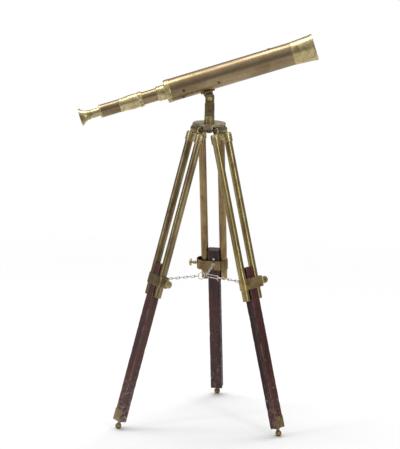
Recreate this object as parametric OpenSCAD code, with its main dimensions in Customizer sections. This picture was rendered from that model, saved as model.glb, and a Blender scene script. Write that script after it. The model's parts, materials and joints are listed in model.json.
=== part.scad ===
// Table telescope on a folding three-legged stand, in aged brass and dark wood.
// The frame has +Z up. The origin is at the centre of the overall box, on the surface it stands on.
// X runs along the telescope's level direction, from the eyecup towards the objective.

/* [Telescope] */
// Outer diameter of the main barrel
barrel_d = 38.4; // [35:0.2:40]
// Wall of the drawn brass tubes
tube_wall = 1.2; // [1:0.1:1.4]
// Length of the barrel from its end ring to the dew cap's seam
barrel_len = 211.5; // [190:1:240]
// Distance from the foot of the tilt pivot's normal to the barrel's eye end
barrel_back = 58; // [52:1:66]
// Angle of the telescope above the horizon as it stands
rise = 18.1; // [0:0.1:30]
// Distance of the barrel's axis from the tilt pivot
barrel_rise = 31.4; // [27:0.1:34]
// Length of the dew cap that stands past the barrel
dew_len = 39; // [30:1:50]
// Outer diameter of the dew cap's mouth, inside its rolled rim
dew_mouth_d = 43.4; // [42:0.1:47]
// Width of the dew cap's rolled rim
dew_rim = 5.5; // [4:0.5:7]
// Step of the dew cap's rim over its mouth
dew_lip = 0.6; // [0.4:0.1:1.2]
// Outer diameter of the dark focusing tube
draw_d = 21.5; // [20:0.5:22]
// Length of the focusing tube that shows between guide and coupling
draw_out = 25; // [25:1:45]
// Length of the focusing tube that stays inside the barrel
draw_in = 78; // [60:1:100]
// Outer diameter of the eye tube behind the coupling
holder_d = 22; // [20.5:0.5:24]
// Length of the eye tube that shows
holder_len = 32; // [24:1:40]
// Length of the swelled brass coupling
coupling_len = 32; // [26:1:38]
// Outer diameter of the coupling at its swelling
coupling_d = 24.8; // [24:0.2:27]
// Width of the beaded ring in front of the coupling
bead_w = 8; // [6:0.5:10]
// Outer diameter of the eyepiece tube
eyepiece_d = 14.5; // [13:0.5:16]
// Length of the eyepiece tube that shows
eyepiece_out = 18; // [18:1:30]
// Outer diameter of the eyecup's rim
eyecup_d = 29; // [24:0.5:32]
// Length of the eyecup
eyecup_len = 16; // [13:0.5:18]

/* [Head and post] */
// Outer diameter of the post
post_d = 16.5; // [15:0.5:19]
// Height of the tilt pivot above the head's top face
pivot_rise = 41.5; // [38:0.5:56]
// Width of the slot that the barrel's lug stands in
slot_w = 6; // [5:0.5:7]
// Diameter of the tilt screw's shank
tilt_screw_d = 5; // [4:0.5:6]
// Height of the collar at the foot of the post
collar_h = 13; // [10:1:18]
// Diameter of the post's spindle in the head
spindle_d = 9; // [8:0.5:11]
// Thickness of the head's plate
plate_t = 9; // [7:0.5:12]
// Diameter of the head's round middle
plate_d = 55; // [48:1:58]
// Distance of the leg pivots from the post's axis
hinge_r = 23; // [22:0.5:27]
// Radius of the rounded lug at a leg pivot
lug_r = 7.5; // [6.5:0.5:8.5]
// Diameter of the leg pivot screws
hinge_screw_d = 5; // [4:0.5:6]

/* [Legs] */
// Angle of each leg from the vertical with the spreader chain taut
spread = 15.6; // [10:0.1:20]
// Direction of the rear leg, counted from the telescope's level direction
rear_turn = 81.5; // [70:0.5:90]
// Angle from the rear leg round to the left leg
left_step = 127; // [116:0.5:130]
// Angle from the rear leg round to the right leg
right_step = 240; // [236:0.5:244]
// Distance between the two tubes of a leg
pair_w = 32; // [30:0.5:36]
// Outer diameter of the leg tubes
leg_tube_d = 12.7; // [11.5:0.1:13.5]
// Distance from a leg's pivot to the lower ends of its tubes
leg_tube_end = 289; // [270:1:320]
// Outer diameter of the sockets on top of the leg tubes
socket_d = 15.6; // [15:0.1:16]
// Length of those sockets
socket_len = 16; // [13:0.5:20]
// Distance from a leg's pivot to the middle of its clamp
clamp_at = 261; // [245:1:270]
// Height of the clamp's strap
strap_h = 18; // [14:1:22]
// Thickness of the clamp's strap
strap_t = 1.4; // [1:0.1:1.8]
// Length of the wooden lower leg
wood_len = 274; // [250:1:300]
// Width of the wooden lower leg
wood_w = 20.4; // [19.9:0.1:20.9]
// Depth of the wooden lower leg
wood_depth = 15; // [13:0.5:17]
// Length of the wood that stands above the middle of the clamp
wood_above = 27.5; // [22:0.5:40]
// Diameter of the ball foot
foot_d = 10.4; // [9:0.2:12]
// Diameter of the thumbscrew's knurled disc
knob_d = 12.4; // [11:0.2:14]
// Diameter of the thumbscrew's threaded stem
stem_d = 4; // [3:0.5:4.5]

/* [Spreader chain] */
// Diameter of the chain's wire
wire_d = 1.4; // [1.2:0.1:1.6]
// Outer diameter of the ring that gathers the chains
ring_d = 13.5; // [12:0.5:15]
// Distance between the middles of neighbouring links
link_pitch = 7.2; // [7:0.1:7.4]

/* [Fits] */
// Clearance of a sliding or turning fit, on the radius
fit = 0.05; // [0.03:0.01:0.08]
// Gap between neighbouring pieces that move past each other
gap = 0.3; // [0.25:0.05:0.4]

/* [Hidden] */
$fn = 64;
brass = "darkgoldenrod";
bright_brass = "gold";
dark_brass = "sienna";
dark_wood = "saddlebrown";
steel = "silver";
lens_glass = "lightcyan";
touch = 0.01;

// Stand
foot_flat = 0.4;
foot_neck = 9;
hinge_z = (wood_end() + foot_neck) * cos(spread) + foot_d / 2 - foot_flat;
head_over_hinge = 10;
head_top = hinge_z + head_over_hinge;
pivot_z = head_top + pivot_rise;
leg_turns = [rear_turn, rear_turn + left_step, rear_turn + right_step];
eye_thick = 5;
eye_r = 6;
lug_half = (pair_w - socket_d) / 2 - gap;
eye_in = lug_half + gap;
socket_top = 6;
socket_roof = 3;
leg_wall = 1;
tube_r = leg_tube_d / 2;
groove_r = tube_r + gap;
wood_edge = 1;
strap_in = wood_depth / 2 + gap;
strap_out = strap_in + strap_t;
strap_wrap = tube_r + strap_t;
pocket_y = pair_w / 2 + 5.5;
shoe_h = 20;
shoe_t = 1.2;
function wood_end() = clamp_at - wood_above + wood_len;

// Telescope, measured along its axis from the foot of the pivot's normal
barrel_r = barrel_d / 2;
bore_r = barrel_r - tube_wall;
eye_end = -barrel_back;
seam = eye_end + barrel_len;
mouth = seam + dew_len;
ring_w = 9;
ring_over = 0.4;
guide_w = 15;
guide_r = draw_d / 2 + 2.05;
sleeve_r = guide_r - 0.6;
spigot_w = 25;
guide_end = eye_end - ring_w - guide_w;
bead_end = guide_end - draw_out;
coupling_front = bead_end - bead_w;
holder_front = coupling_front - coupling_len;
lip_w = 3.5;
holder_end = holder_front - holder_len;
lip_end = holder_end - lip_w;
cup_neck = lip_end - eyepiece_out;
cup_end = cup_neck - eyecup_len;

// The overall box, which sets the origin under its middle
leg_reach = hinge_r + wood_end() * sin(spread) + (wood_depth / 2 + shoe_t) * cos(spread);
box_left = cup_end * cos(rise) - (barrel_rise + eyecup_d / 2) * sin(rise);
box_right = mouth * cos(rise) - (barrel_rise - dew_mouth_d / 2 - dew_lip) * sin(rise);
plate_half = wood_w / 2 - wood_edge;
box_far = leg_reach * sin(rear_turn) + plate_half * cos(rear_turn);
box_near = leg_reach * sin(rear_turn + right_step) - plate_half * cos(rear_turn + right_step);
axis_x = -(box_left + box_right) / 2;
axis_y = -(box_far + box_near) / 2;

// Places its children at the tripod's axis, on the floor
module on_axis() {
    translate([axis_x, axis_y, 0]) children();
}

// Places its children at a leg's pivot: x out from the leg, y across it, z up along it
module on_leg(n) {
    on_axis() rotate([0, 0, leg_turns[n]])
        translate([hinge_r, 0, hinge_z]) rotate([0, -spread, 0]) children();
}

// Places its children on the telescope's axis, with z along it towards the objective
module on_scope(u) {
    on_axis() translate([0, 0, pivot_z]) rotate([0, -rise, 0])
        translate([u, 0, barrel_rise]) rotate([0, 90, 0]) children();
}

// A ring or tube from z = low to high
module tube(outer_r, inner_r, low, high) {
    translate([0, 0, low]) difference() {
        cylinder(r = outer_r, h = high - low);
        translate([0, 0, -1]) cylinder(r = inner_r, h = high - low + 2);
    }
}

// A screw's domed head, seated at z = 0 and rising along +z, with its slot
module domed_head(r, h) {
    ball = (r * r + h * h) / (2 * h);
    difference() {
        intersection() {
            translate([0, 0, h - ball]) sphere(r = ball, $fn = 48);
            cylinder(r = r, h = h);
        }
        translate([-r, -0.4, h - 0.7]) cube([2 * r, 0.8, 1]);
    }
}

// A six-sided nut from z = 0 to h with a plain bore
module hex_nut(across, bore, h) {
    difference() {
        cylinder(d = across / cos(30), h = h, $fn = 6);
        translate([0, 0, -1]) cylinder(r = bore, h = h + 2);
    }
}

hinge_eye_out = eye_in + eye_thick;
hinge_head_r = 4.8;
hinge_head_h = 3;
notch_w = hinge_eye_out + gap + hinge_head_h + gap - lug_half;

// The head: a round plate with three rounded lugs that the legs hang from, notched for their eyes
module tripod_head() {
    color(brass) on_axis() difference() {
        union() {
            translate([0, 0, head_top - plate_t]) cylinder(d = plate_d, h = plate_t);
            for (turn = leg_turns) rotate([0, 0, turn]) head_lug();
        }
        translate([0, 0, head_top - plate_t - 1]) cylinder(r = spindle_d / 2 + fit, h = plate_t + 2);
        for (turn = leg_turns) rotate([0, 0, turn]) translate([hinge_r, 0, hinge_z]) {
            rotate([90, 0, 0]) cylinder(d = hinge_screw_d, h = pair_w, center = true);
            for (side = [0, 180]) rotate([0, 0, side]) translate([0, lug_half, 0]) rotate([-90, 0, 0])
                cylinder(r = eye_r + gap, h = notch_w);
        }
    }
}

module head_lug() {
    translate([hinge_r, lug_half, hinge_z]) rotate([90, 0, 0]) linear_extrude(2 * lug_half) {
        circle(r = lug_r);
        translate([-hinge_r + spindle_d, -lug_r / 2])
            square([hinge_r - spindle_d, head_over_hinge + lug_r / 2]);
        translate([-touch, 0]) square([lug_r * 0.72 + touch, head_over_hinge]);
    }
}

// The collar fixed on the head, in which the post turns
module post_collar() {
    color(bright_brass) on_axis() translate([0, 0, head_top]) difference() {
        union() {
            cylinder(d = post_d + 0.6, h = collar_h - 1);
            cylinder(d = post_d - 0.4, h = collar_h);
            cylinder(d = post_d + 2.4, h = 1.6);
        }
        translate([0, 0, -1]) cylinder(r = spindle_d / 2 + fit, h = collar_h + 2);
    }
}

// Three screws that the legs swing on, each with its head on the near side of its lug
module hinge_screws() {
    color(steel) for (n = [0 : 2]) hinge_place(n) {
        translate([0, 0, -hinge_eye_out - gap])
            cylinder(d = hinge_screw_d, h = 2 * (hinge_eye_out + gap) + 2.6);
        translate([0, 0, -hinge_eye_out - gap]) rotate([180, 0, 0]) domed_head(hinge_head_r, hinge_head_h);
    }
}

nut_flange_r = 4.2;
nut_flange_t = 1.6;
nut_dome_r = 3.6;
nut_dome_up = 0.6;
nut_bore = 2.6;

// The round cap nuts on the other ends of those screws
module hinge_nuts() {
    color(brass) for (n = [0 : 2]) hinge_place(n) translate([0, 0, hinge_eye_out + gap]) difference() {
        union() {
            cylinder(r = nut_flange_r, h = nut_flange_t);
            intersection() {
                translate([0, 0, nut_dome_up]) sphere(r = nut_dome_r);
                cylinder(r = nut_flange_r, h = nut_flange_t + nut_dome_r);
            }
        }
        translate([0, 0, -nut_bore]) cylinder(d = hinge_screw_d, h = 2 * nut_bore);
    }
}

// Places its children at a leg's pivot, with z along the pivot screw
module hinge_place(n) {
    on_axis() rotate([0, 0, leg_turns[n]]) translate([hinge_r, 0, hinge_z]) rotate([-90, 0, 0]) children();
}

ear_flat = post_d / 2 - 0.9;
slot_below = 9;
post_foot = collar_h + fit;
washer_t = 1.5;
nut_h = 5;
under_head = head_top - plate_t - fit;
spindle_end = under_head - washer_t - nut_h - 2;

// The turned post: a forked top, a round shank and a spindle through the head
module post() {
    color(brass) on_axis() difference() {
        union() {
            translate([0, 0, head_top + post_foot]) cylinder(d = post_d, h = pivot_rise - post_foot);
            intersection() {
                translate([0, 0, pivot_z - 1]) cylinder(d = post_d, h = post_d);
                translate([0, 0, pivot_z]) rotate([90, 0, 0])
                    cylinder(d = post_d, h = post_d, center = true);
            }
            translate([0, 0, spindle_end])
                cylinder(d = spindle_d, h = head_top + post_foot + 1 - spindle_end);
        }
        translate([-post_d, -slot_w / 2, pivot_z - slot_below]) cube([2 * post_d, slot_w, 3 * slot_below]);
        for (side = [-1, 1]) translate([-post_d, side * (ear_flat + post_d / 2) - post_d / 2, pivot_z - 7])
            cube([2 * post_d, post_d, 3 * slot_below]);
        translate([0, 0, pivot_z]) rotate([90, 0, 0])
            cylinder(d = tilt_screw_d, h = 2 * post_d, center = true);
    }
}

// The washer and nut that hold the post down on the head
module post_washer() {
    color(steel) on_axis() translate([0, 0, under_head - washer_t]) tube(7.6, spindle_d / 2, 0, washer_t);
}

module post_nut() {
    color(brass) on_axis() translate([0, 0, under_head - washer_t - nut_h])
        hex_nut(13, spindle_d / 2, nut_h);
}

// The screw that the telescope tilts on, with its slotted head to the front
module tilt_screw() {
    color(bright_brass) on_axis() translate([0, 0, pivot_z]) rotate([90, 0, 0]) {
        translate([0, 0, -ear_flat - 4.2]) cylinder(d = tilt_screw_d, h = 2 * ear_flat + 4.2);
        translate([0, 0, ear_flat]) domed_head(4.4, 2.6);
    }
}

module tilt_nut() {
    color(brass) on_axis() translate([0, ear_flat, pivot_z]) rotate([-90, 0, 0])
        hex_nut(8.6, tilt_screw_d / 2, 3.4);
}

// The main tube of the telescope, drilled for its four screws
module barrel_tube() {
    color(dark_brass) difference() {
        on_scope(0) tube(barrel_r, bore_r, eye_end, seam);
        for (place = screw_places) at_screw(place)
            cylinder(r = screw_shank_r, h = 2 * screw_hole, center = true);
    }
}

stop_front = 22.7;
stop_far = 117.5;
ring_screw_in = 21.1;
ring_screw_step = 4.1;
ring_screw = eye_end + ring_screw_in;
// Each barrel screw: its place along the barrel, and its angle below the near side
screw_places = [[stop_front, 27], [ring_screw, 13], [ring_screw - ring_screw_step, 60], [stop_far, -90]];
screw_shank_r = 1.3;
screw_head_r = 2.7;
screw_head_h = 1.2;
screw_hole = 4;
screw_seat = 0.08;
screw_end = 0.8;

// Places its children on the barrel's surface, with z pointing out of it
module at_screw(place) {
    on_scope(place[0]) rotate([0, 0, place[1] - 90])
        translate([barrel_r, 0, 0]) rotate([0, 90, 0]) children();
}

module barrel_screws() {
    color(steel) for (place = screw_places) at_screw(place) {
        translate([0, 0, -tube_wall - screw_end])
            cylinder(r = screw_shank_r, h = tube_wall + screw_end + screw_seat + touch);
        translate([0, 0, screw_seat]) domed_head(screw_head_r, screw_head_h);
    }
}

lug_t = slot_w - 2 * gap;
lug_round = 6.4;
saddle_len = 24;
saddle_w = 11;
saddle_t = 2;

// The lug under the barrel, with the saddle that is soldered to the tube
module mount_lug() {
    color(brass) on_axis() translate([0, 0, pivot_z]) rotate([0, -rise, 0]) difference() {
        union() {
            translate([0, lug_t / 2, 0]) rotate([90, 0, 0]) linear_extrude(lug_t) {
                circle(r = lug_round);
                polygon([
                    [-lug_round, 0], [lug_round, 0],
                    [saddle_len * 0.34, saddle_drop], [-saddle_len * 0.4, saddle_drop],
                ]);
            }
            translate([-saddle_len / 2, -saddle_w / 2, barrel_rise - barrel_r - saddle_t])
                cube([saddle_len, saddle_w, saddle_t + 1.5]);
        }
        translate([0, 0, barrel_rise]) rotate([0, 90, 0])
            cylinder(r = barrel_r, h = 2 * saddle_len, center = true);
        rotate([90, 0, 0]) cylinder(r = tilt_screw_d / 2 + fit, h = 2 * lug_t, center = true);
    }
}
saddle_drop = barrel_rise - barrel_r + 0.5;

lens_r = bore_r - 1.3;
cell_depth = 10;
lens_seat = seam - cell_depth + 2.5;
crown_t = 4;
flint_t = 3.2;
crown_sag = 1.4;
flint_sag = 0.8;
lens_stack = lens_seat + flint_t + crown_t;
retainer_t = 3;
rim_groove = 0.5;
rim_groove_w = 0.8;
rim_edge = 0.5;

// The bright dew cap, with the cell that holds the object glass turned inside it
module dew_cap() {
    rim_r = dew_mouth_d / 2 + dew_lip;
    groove_end = mouth - dew_rim + rim_groove_w;
    color(bright_brass) on_scope(0) rotate_extrude() polygon([
        [lens_r - 1.6, seam - cell_depth], [bore_r, seam - cell_depth], [bore_r, seam],
        [barrel_r + ring_over, seam], [barrel_r + ring_over, seam + 2],
        [dew_mouth_d / 2, mouth - dew_rim], [dew_mouth_d / 2 - rim_groove, mouth - dew_rim],
        [dew_mouth_d / 2 - rim_groove, groove_end], [rim_r, groove_end],
        [rim_r, mouth - rim_edge], [rim_r - rim_edge, mouth],
        [dew_mouth_d / 2 - 1.4, mouth], [lens_r + 1.2, lens_stack + retainer_t + 0.4],
        [lens_r, lens_stack + retainer_t + 0.4], [lens_r, lens_seat], [lens_r - 1.6, lens_seat],
    ]);
}

// The outline of a lens with one flat face, and one face that follows a circle out to the edge.
// A positive sag makes that face hollow, a negative one makes it swell.
function lens_outline(r, t, sag) = concat([[0, 0], [r, 0]], [for (k = [8 : -1 : 0]) [
    r * k / 8,
    t - abs(sag) + (sag < 0 ? -sag * (1 - k * k / 64) : sag * k * k / 64)
]]);

module objective_crown() {
    color(lens_glass, 0.4) on_scope(lens_seat + flint_t) rotate_extrude()
        polygon(lens_outline(lens_r - touch, crown_t, -crown_sag));
}

module objective_flint() {
    color(lens_glass, 0.4) on_scope(lens_seat + flint_t) rotate([180, 0, 0]) rotate_extrude()
        polygon(lens_outline(lens_r - touch, flint_t, flint_sag));
}

module objective_ring() {
    color(dark_brass) on_scope(0) tube(lens_r, lens_r - 1.8, lens_stack, lens_stack + retainer_t);
}

// Two blackened rings inside the barrel that stop stray light, each held by a barrel screw
module glare_stops() {
    color("dimgray") difference() {
        on_scope(0) {
            tube(bore_r, 11, stop_front - 1.8, stop_front + 1.8);
            tube(bore_r, 13, stop_far - 1.8, stop_far + 1.8);
        }
        for (place = screw_places) at_screw(place)
            cylinder(r = screw_shank_r, h = 2 * screw_hole, center = true);
    }
}

// The ring that closes the eye end of the barrel, with the spigot that the side screws bite into
module barrel_end_ring() {
    color(bright_brass) difference() {
        on_scope(0) rotate_extrude() polygon([
            [sleeve_r, eye_end - ring_w], [barrel_r - 0.6, eye_end - ring_w],
            [barrel_r + ring_over, eye_end - ring_w + 1], [barrel_r + ring_over, eye_end - 1],
            [barrel_r + ring_over - 0.4, eye_end], [bore_r, eye_end],
            [bore_r, eye_end + spigot_w], [bore_r - 1.6, eye_end + spigot_w], [bore_r - 1.6, eye_end + 1],
            [sleeve_r, eye_end + 1],
        ]);
        for (place = screw_places) at_screw(place)
            cylinder(r = screw_shank_r, h = 2 * screw_hole, center = true);
    }
}

sleeve_w = 13;

// The collar that guides the focusing tube
module draw_guide() {
    color(bright_brass) on_scope(0) rotate_extrude() polygon([
        [draw_d / 2 + fit, guide_end], [guide_r - 0.8, guide_end], [guide_r, guide_end + 0.8],
        [guide_r, guide_end + 4], [guide_r - 0.5, guide_end + 4.6], [guide_r - 0.5, guide_end + 6],
        [guide_r, guide_end + 6.6], [guide_r, eye_end - ring_w], [sleeve_r, eye_end - ring_w],
        [sleeve_r, eye_end + sleeve_w], [draw_d / 2 + fit, eye_end + sleeve_w],
    ]);
}

draw_inner = guide_end + draw_in;
draw_tail = coupling_front - 10;

module draw_tube() {
    color(dark_brass) on_scope(0) tube(draw_d / 2, draw_d / 2 - tube_wall, draw_tail, draw_inner);
}

inner_ring_w = 8;

// The ring on the inner end of the focusing tube that rides in the barrel
module inner_guide_ring() {
    color(brass) on_scope(0) tube(bore_r - gap, draw_d / 2, draw_inner - inner_ring_w, draw_inner);
}

erector_r = draw_d / 2 - tube_wall;
erector_t = 4;
erector_sag = 1.5;
erector_in = 9;
erector_step = 36;
erector_places = [draw_inner - erector_in, draw_inner - erector_in - erector_step];

// The two lenses that turn the image upright, inside the focusing tube
module erector_lens() {
    color(lens_glass, 0.4) for (u = erector_places) on_scope(u) rotate_extrude()
        polygon(lens_outline(erector_r, erector_t, -erector_sag));
}

bead_r = 1.4;

// The beaded ring in front of the coupling
module coupling_bead() {
    color(bright_brass) on_scope(0) difference() {
        union() {
            tube(coupling_d / 2 - 0.6, draw_d / 2, coupling_front, bead_end);
            translate([0, 0, coupling_front + bead_w * 0.3])
                rotate_extrude() translate([coupling_d / 2 - 0.4, 0]) circle(r = bead_r, $fn = 32);
            translate([0, 0, coupling_front + bead_w * 0.72])
                rotate_extrude() translate([coupling_d / 2 - 0.7, 0]) circle(r = bead_r, $fn = 32);
        }
        translate([0, 0, coupling_front - 5]) cylinder(r = draw_d / 2, h = bead_w + 10);
    }
}

spigot_r = holder_d / 2 - 1.1;
holder_spigot = 12;
swell = (coupling_d - holder_d) / 2;

// The swelled coupling: its outline follows a sine from the eye tube's size to its widest and back
module draw_coupling() {
    outline = [for (k = [0 : 12]) [
        holder_d / 2 + 0.1 + swell * sin(k * 150 / 12),
        holder_front + 6 + (coupling_len - 6) * k / 12
    ]];
    color(bright_brass) on_scope(0) rotate_extrude() polygon(concat(
        [[spigot_r, holder_front], [holder_d / 2 + 0.1, holder_front],
        [holder_d / 2 + 0.5, holder_front + 0.6], [holder_d / 2 + 0.5, holder_front + 4.4],
        [holder_d / 2 - 0.1, holder_front + 5]],
        outline,
        [[draw_d / 2, coupling_front], [draw_d / 2, draw_tail], [draw_d / 2 - tube_wall, draw_tail],
        [draw_d / 2 - tube_wall, holder_front + holder_spigot], [spigot_r, holder_front + holder_spigot]]
    ));
}

// The dark eye tube, stepped down where it enters the coupling
module eye_tube() {
    color(dark_brass) on_scope(0) rotate_extrude() polygon([
        [holder_d / 2 - tube_wall, holder_end], [holder_d / 2, holder_end], [holder_d / 2, holder_front],
        [spigot_r, holder_front], [spigot_r, holder_front + holder_spigot],
        [spigot_r - 1, holder_front + holder_spigot], [spigot_r - 1, holder_front - 2],
        [holder_d / 2 - tube_wall, holder_front - 2],
    ]);
}

// The lip on the eye tube, whose sleeve guides the eyepiece tube
module eye_tube_lip() {
    color(bright_brass) on_scope(0) rotate_extrude() polygon([
        [eyepiece_d / 2 + fit, lip_end], [holder_d / 2 - 0.5, lip_end], [holder_d / 2 + 0.2, lip_end + 0.7],
        [holder_d / 2 + 0.2, holder_end], [holder_d / 2 - tube_wall, holder_end],
        [holder_d / 2 - tube_wall, holder_end + 12], [eyepiece_d / 2 + fit, holder_end + 12],
    ]);
}

eyepiece_in = 30;
eyepiece_bore = eyepiece_d / 2 - 1;

module eyepiece_tube() {
    color(brass) on_scope(0) tube(eyepiece_d / 2, eyepiece_bore, cup_neck, lip_end + eyepiece_in);
}

eye_hole = 3.5;
cup_wall = 1.6;
cup_rim = 1.4;
cup_collar_r = eyepiece_d / 2 + 1;
cup_collar_w = 3.5;
cup_throat = 0.4;
cup_tail = 4;
eye_lens_t = 3;
field_lens_t = 4;
eye_lens_sag = 1.3;

// The eyecup: a collar on the eyepiece tube, then a flare that opens faster towards the rim
module eyecup() {
    throat_r = eyepiece_d / 2 + cup_throat;
    flare_w = eyecup_d / 2 - throat_r;
    flare_top = cup_neck - cup_collar_w;
    flare_len = eyecup_len - cup_collar_w - cup_rim;
    flare = [for (k = [0 : 10]) [
        throat_r + flare_w * (0.4 * k + 0.06 * k * k) / 10,
        flare_top - flare_len * k / 10
    ]];
    inside = [for (k = [10 : -1 : 4]) [flare[k][0] - cup_wall, flare[k][1]]];
    color(bright_brass) on_scope(0) rotate_extrude() polygon(concat(
        [[eye_hole, cup_neck + cup_tail], [eyepiece_bore, cup_neck + cup_tail], [eyepiece_bore, cup_neck],
        [cup_collar_r, cup_neck], [cup_collar_r, flare_top]],
        flare,
        [[eyecup_d / 2, cup_end + 0.4], [eyecup_d / 2 - 0.4, cup_end], [eyecup_d / 2 - cup_wall, cup_end]],
        inside,
        [[eye_hole, inside[6][1]]]
    ));
}

module eye_lens() {
    color(lens_glass, 0.4) on_scope(cup_neck + cup_tail) rotate_extrude()
        polygon(lens_outline(eyepiece_bore, eye_lens_t, -eye_lens_sag));
}

module field_lens() {
    color(lens_glass, 0.4) on_scope(lip_end + eyepiece_in - 6) rotate_extrude()
        polygon(lens_outline(eyepiece_bore, field_lens_t, -eye_lens_sag));
}

// The two sockets on top of a leg's tubes, each with the flat eye that swings on the pivot screw
module leg_sockets(n) {
    color(bright_brass) on_leg(n) for (side = [-1, 1]) difference() {
        union() {
            translate([0, side * pair_w / 2, -socket_top - socket_len])
                cylinder(d = socket_d, h = socket_len - 2);
            translate([0, side * pair_w / 2, -socket_top - 2 - touch])
                cylinder(d = socket_d - 2.4, h = 2 + touch);
            translate([0, side * (eye_in + eye_thick / 2) + eye_thick / 2, 0])
                rotate([90, 0, 0]) linear_extrude(eye_thick) {
                    circle(r = eye_r);
                    translate([-eye_r * 0.8, -socket_top - 1.5]) square([eye_r * 1.6, socket_top + 1.5]);
                }
        }
        translate([0, side * pair_w / 2, -socket_top - socket_len - 1])
            cylinder(r = tube_r, h = socket_len - socket_roof + 1);
        rotate([90, 0, 0]) cylinder(r = hinge_screw_d / 2 + fit, h = 2 * pair_w, center = true);
    }
}

module leg_tubes(n) {
    color(brass) on_leg(n) for (side = [-1, 1]) translate([0, side * pair_w / 2, 0])
        tube(tube_r, tube_r - leg_wall, -leg_tube_end, -socket_top - socket_roof);
}

// The outline of the strap, seen along the leg, at a given distance from the wood and the tube
module strap_outline(side, wrap, start) {
    translate([0, -pair_w / 2]) circle(r = wrap);
    translate([-side, start]) square([2 * side, pocket_y - start]);
    translate([0, pocket_y]) circle(r = side);
}

eye_rivet_r = 1.5;
strap_low = -clamp_at - strap_h / 2;
eye_z = -clamp_at + 3;

// The strap that binds the wood to both tubes, with its pocket for the thumbscrew
module leg_clamp(n) {
    color(brass) on_leg(n) difference() {
        translate([0, 0, strap_low]) linear_extrude(strap_h) difference() {
            strap_outline(strap_out, strap_wrap, -wood_w / 2 - gap - strap_t);
            strap_outline(strap_in, tube_r, -wood_w / 2 - gap);
        }
        translate([0, pocket_y, -clamp_at]) rotate([-90, 0, 0])
            cylinder(r = stem_d / 2 + fit, h = 2 * strap_out);
        translate([-strap_out, 0, eye_z]) rotate([0, 90, 0]) cylinder(r = eye_rivet_r, h = 4, center = true);
    }
}

knob_t = 3;
stem_tip = pair_w / 2 + tube_r + gap;
stem_end = pocket_y + strap_out + 12.2;
bead_at = pocket_y + strap_out + 3.8;

// The thumbscrew that presses the tube against the wood
module leg_thumbscrew(n) {
    color(bright_brass) on_leg(n) translate([0, 0, -clamp_at]) rotate([-90, 0, 0]) {
        translate([0, 0, stem_tip]) cylinder(r = stem_d / 2 + 0.9, h = 1.5);
        translate([0, 0, stem_tip + 1]) cylinder(r = stem_d / 2, h = stem_end - stem_tip - 2);
        translate([0, 0, bead_at]) sphere(r = stem_d / 2 + 1.3, $fn = 48);
        difference() {
            translate([0, 0, stem_end - knob_t]) cylinder(d = knob_d, h = knob_t);
            for (k = [0 : 19]) rotate([0, 0, k * 18])
                translate([knob_d / 2 + 0.25, 0, stem_end - knob_t - 1])
                    cylinder(r = 0.6, h = knob_t + 2, $fn = 16);
        }
        translate([0, 0, stem_end - 0.5]) cylinder(d = knob_d * 0.45, h = 1.2);
    }
}

eye_base_t = 1.2;
link_eye_x = -strap_out - 3.4;
link_eye_r = 2.4;
link_bore = wire_d / 2 + fit;
eye_plate_t = 1.8;

// The riveted eye on the inner face of the strap that carries the chain
module leg_chain_eye(n) {
    color(steel) on_leg(n) {
        translate([-strap_out - eye_base_t, 0, eye_z]) rotate([0, 90, 0]) cylinder(r = 3, h = eye_base_t);
        translate([-strap_out - touch, 0, eye_z]) rotate([0, 90, 0])
            cylinder(r = eye_rivet_r, h = strap_t + touch);
        difference() {
            translate([0, eye_plate_t / 2, 0]) rotate([90, 0, 0]) linear_extrude(eye_plate_t) {
                translate([link_eye_x, eye_z]) circle(r = link_eye_r);
                translate([link_eye_x, eye_z - link_eye_r])
                    square([-strap_out - eye_base_t / 2 - link_eye_x, 2 * link_eye_r]);
            }
            translate([link_eye_x, 0, eye_z]) rotate([90, 0, 0])
                cylinder(r = link_bore, h = 2 * eye_plate_t, center = true);
        }
    }
}

// The mahogany lower leg, grooved along its narrow sides for the tubes
module wood_leg(n) {
    half_d = wood_depth / 2;
    half_w = wood_w / 2;
    color(dark_wood) on_leg(n) difference() {
        translate([0, 0, -wood_end()]) linear_extrude(wood_len) difference() {
            polygon([
                [half_d - wood_edge, half_w], [half_d, half_w - wood_edge],
                [half_d, -half_w + wood_edge], [half_d - wood_edge, -half_w],
                [-half_d + wood_edge, -half_w], [-half_d, -half_w + wood_edge],
                [-half_d, half_w - wood_edge], [-half_d + wood_edge, half_w],
            ]);
            for (side = [-1, 1]) translate([0, side * pair_w / 2]) circle(r = groove_r);
        }
        translate([-half_d, 0, stop_z]) rotate([0, 90, 0]) cylinder(r = stop_shank_r, h = 16, center = true);
        translate([0, 0, -wood_end()]) cylinder(r = peg_r, h = 2 * peg_in, center = true);
        for (z = shoe_pins) translate([half_d, 0, -wood_end() + z]) rotate([0, 90, 0])
            cylinder(r = pin_r, h = 2 * pin_in, center = true);
    }
}

stop_shank_r = 1.2;
stop_head_r = 2.4;
stop_z = strap_low + strap_h + gap + stop_head_r;
peg_r = 2.2;
peg_in = 12;
pin_r = 0.8;
pin_in = 4.6;
pin_head_r = 1.5;
pin_head_t = 0.4;
shoe_pins = [4, 16];

// The round-headed screw near the wood's top that stops it from sliding out of the strap
module stop_screw(n) {
    color(steel) on_leg(n) translate([-wood_depth / 2, 0, stop_z]) rotate([0, -90, 0]) {
        translate([0, 0, -8]) cylinder(r = stop_shank_r, h = 8.05);
        domed_head(stop_head_r, 1.6);
    }
}

// The brass plate pinned to the outer face of the wood at its foot
module shoe_plate(n) {
    color(bright_brass) on_leg(n) {
        translate([wood_depth / 2, -plate_half, -wood_end()]) cube([shoe_t, 2 * plate_half, shoe_h]);
        for (z = shoe_pins) translate([wood_depth / 2, 0, -wood_end() + z]) rotate([0, 90, 0]) {
            translate([0, 0, -pin_in]) cylinder(r = pin_r, h = pin_in + touch);
            translate([0, 0, shoe_t - touch]) cylinder(r = pin_head_r, h = pin_head_t);
        }
    }
}

floor_half = 500;
floor_deep = 50;

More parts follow.
